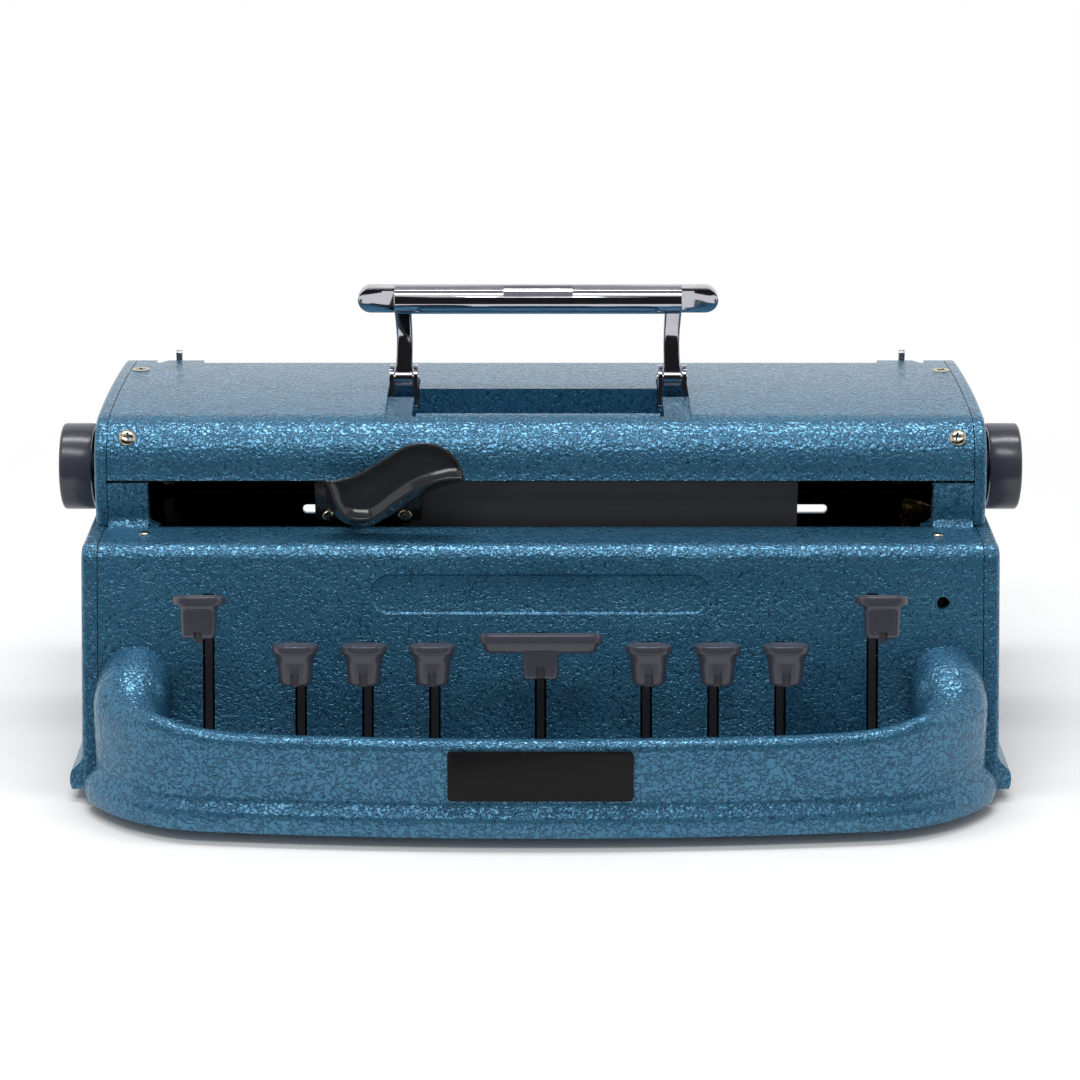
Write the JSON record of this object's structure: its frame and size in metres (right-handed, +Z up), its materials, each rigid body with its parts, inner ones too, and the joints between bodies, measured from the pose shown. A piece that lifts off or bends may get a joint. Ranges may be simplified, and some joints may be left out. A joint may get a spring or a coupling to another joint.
{
  "type": "braille typewriter",
  "caption": "Mechanical braille typewriter with a sliding embossing carriage, sprung dot keys, paper feed knobs and a folding carrying handle.",
  "frame": {"origin": "on the table, under the middle of the machine's box", "axes": "+X to the right along the width, the keys face -Y, +Z up"},
  "size_m": [0.3942, 0.23, 0.183],
  "materials": {
    "hammertone_blue": "hammered enamel, semi-gloss",
    "black_label": "flat black",
    "black_oxide_steel": "black oxide",
    "black_rubber": "matt",
    "key_lever_steel": "grey plated",
    "grey_moulded_plastic": "satin",
    "bright_steel": "bright drawn",
    "spring_steel": "oiled",
    "zinc_plate": "zinc plated",
    "brass": "satin",
    "dark_grey_paint": "matt",
    "dark_moulded_plastic": "gloss",
    "chrome": "polished"
  },
  "bodies": {
    "frame": {"front_casting": "hammertone_blue", "side_plate_left": "hammertone_blue", "side_plate_right": "hammertone_blue", "top_hood": "hammertone_blue", "rear_cover": "hammertone_blue", "reading_rest": "hammertone_blue", "label_plate": "black_label", "base_pan": "black_oxide_steel", "rubber_foot_front_left": "black_rubber", "rubber_foot_front_right": "black_rubber", "rubber_foot_rear_left": "black_rubber", "rubber_foot_rear_right": "black_rubber", "key_shaft": "bright_steel", "lever_comb": "zinc_plate", "key_return_springs": "spring_steel", "carriage_rail_upper": "bright_steel", "carriage_rail_lower": "bright_steel", "rack_bar": "bright_steel", "shield_plate": "dark_grey_paint", "margin_bar": "bright_steel", "bell": "brass", "handle_bracket_left": "chrome", "handle_bracket_right": "chrome", "handle_pin_left": "bright_steel", "handle_pin_right": "bright_steel"},
    "key_line_space": {"lever_line_space": "key_lever_steel", "cap_line_space": "grey_moulded_plastic"},
    "key_dot_3": {"lever_dot_3": "key_lever_steel", "cap_dot_3": "grey_moulded_plastic"},
    "key_dot_2": {"lever_dot_2": "key_lever_steel", "cap_dot_2": "grey_moulded_plastic"},
    "key_dot_1": {"lever_dot_1": "key_lever_steel", "cap_dot_1": "grey_moulded_plastic"},
    "key_space": {"lever_space": "key_lever_steel", "cap_space": "grey_moulded_plastic"},
    "key_dot_4": {"lever_dot_4": "key_lever_steel", "cap_dot_4": "grey_moulded_plastic"},
    "key_dot_5": {"lever_dot_5": "key_lever_steel", "cap_dot_5": "grey_moulded_plastic"},
    "key_dot_6": {"lever_dot_6": "key_lever_steel", "cap_dot_6": "grey_moulded_plastic"},
    "key_back_space": {"lever_back_space": "key_lever_steel", "cap_back_space": "grey_moulded_plastic"},
    "carriage": {"embossing_head": "zinc_plate", "carriage_bracket": "bright_steel"},
    "carriage_lever": {"carriage_lever": "dark_moulded_plastic"},
    "feed": {"feed_roller": "black_rubber", "knob_left": "grey_moulded_plastic", "knob_right": "grey_moulded_plastic", "roller_gear": "brass"},
    "drum": {"paper_drum": "bright_steel", "drum_gear": "brass"},
    "release": {"release_rod": "bright_steel", "release_lever_left": "zinc_plate", "release_lever_right": "zinc_plate"},
    "margin_left": {"margin_stop_left": "brass"},
    "margin_right": {"margin_stop_right": "brass"},
    "mainspring": {"mainspring_drum": "bright_steel"},
    "bell_hammer": {"bell_hammer": "bright_steel"},
    "handle": {"handle": "chrome"}
  },
  "joints": [
    {"name": "press_line_space", "type": "hinge", "parent": "frame", "child": "key_line_space", "pos_m": [-0.1303, 0.072, 0.0295], "axis": [1, 0, 0], "range_deg": [0, 2.9], "stiffness_Nm_per_rad": 0.5, "springref_deg": -25.78},
    {"name": "press_dot_3", "type": "hinge", "parent": "frame", "child": "key_dot_3", "pos_m": [-0.0941, 0.072, 0.0295], "axis": [1, 0, 0], "range_deg": [0, 2.9], "stiffness_Nm_per_rad": 0.5, "springref_deg": -25.78},
    {"name": "press_dot_2", "type": "hinge", "parent": "frame", "child": "key_dot_2", "pos_m": [-0.0678, 0.072, 0.0295], "axis": [1, 0, 0], "range_deg": [0, 2.9], "stiffness_Nm_per_rad": 0.5, "springref_deg": -25.78},
    {"name": "press_dot_1", "type": "hinge", "parent": "frame", "child": "key_dot_1", "pos_m": [-0.0415, 0.072, 0.0295], "axis": [1, 0, 0], "range_deg": [0, 2.9], "stiffness_Nm_per_rad": 0.5, "springref_deg": -25.78},
    {"name": "press_space", "type": "hinge", "parent": "frame", "child": "key_space", "pos_m": [0, 0.072, 0.0295], "axis": [1, 0, 0], "range_deg": [0, 2.9], "stiffness_Nm_per_rad": 0.5, "springref_deg": -25.78},
    {"name": "press_dot_4", "type": "hinge", "parent": "frame", "child": "key_dot_4", "pos_m": [0.0415, 0.072, 0.0295], "axis": [1, 0, 0], "range_deg": [0, 2.9], "stiffness_Nm_per_rad": 0.5, "springref_deg": -25.78},
    {"name": "press_dot_5", "type": "hinge", "parent": "frame", "child": "key_dot_5", "pos_m": [0.0678, 0.072, 0.0295], "axis": [1, 0, 0], "range_deg": [0, 2.9], "stiffness_Nm_per_rad": 0.5, "springref_deg": -25.78},
    {"name": "press_dot_6", "type": "hinge", "parent": "frame", "child": "key_dot_6", "pos_m": [0.0941, 0.072, 0.0295], "axis": [1, 0, 0], "range_deg": [0, 2.9], "stiffness_Nm_per_rad": 0.5, "springref_deg": -25.78},
    {"name": "press_back_space", "type": "hinge", "parent": "frame", "child": "key_back_space", "pos_m": [0.1303, 0.072, 0.0295], "axis": [1, 0, 0], "range_deg": [0, 2.9], "stiffness_Nm_per_rad": 0.5, "springref_deg": -25.78},
    {"name": "carriage_travel", "type": "slide", "parent": "frame", "child": "carriage", "axis": [1, 0, 0], "range_m": [-0.066, 0.2]},
    {"name": "carriage_release", "type": "hinge", "parent": "carriage", "child": "carriage_lever", "pos_m": [-0.0745, -0.0235, 0.107], "axis": [0, 1, 0], "range_deg": [0, 8], "stiffness_Nm_per_rad": 0.1, "springref_deg": -17.19},
    {"name": "feed_turn", "type": "hinge", "parent": "frame", "child": "feed", "pos_m": [0, 0.036, 0.1072], "axis": [1, 0, 0], "continuous": true},
    {"name": "drum_turn", "type": "hinge", "parent": "frame", "child": "drum", "pos_m": [0, 0.05, 0.056], "axis": [1, 0, 0], "continuous": true},
    {"name": "paper_release", "type": "hinge", "parent": "frame", "child": "release", "pos_m": [0, 0.066, 0.121], "axis": [-1, 0, 0], "range_deg": [0, 8.5]},
    {"name": "margin_left_slide", "type": "slide", "parent": "frame", "child": "margin_left", "axis": [1, 0, 0], "range_m": [0, 0.08]},
    {"name": "margin_right_slide", "type": "slide", "parent": "frame", "child": "margin_right", "axis": [1, 0, 0], "range_m": [-0.08, 0]},
    {"name": "mainspring_turn", "type": "hinge", "parent": "frame", "child": "mainspring", "pos_m": [-0.169, 0.076, 0.096], "axis": [1, 0, 0], "range_deg": [-260, 760]},
    {"name": "bell_strike", "type": "hinge", "parent": "frame", "child": "bell_hammer", "pos_m": [0.159, 0.096, 0.044], "axis": [1, 0, 0], "range_deg": [0, 13], "stiffness_Nm_per_rad": 0.005, "springref_deg": -8.59},
    {"name": "handle_fold", "type": "hinge", "parent": "frame", "child": "handle", "pos_m": [-0.001, 0.041, 0.144], "axis": [1, 0, 0], "range_deg": [0, 85]}
  ],
  "couplings": [
    {"joint": "drum_turn", "follows": "feed_turn", "ratio": -0.84211},
    {"joint": "mainspring_turn", "follows": "carriage_travel", "rad_per_m": 64.5}
  ]
}
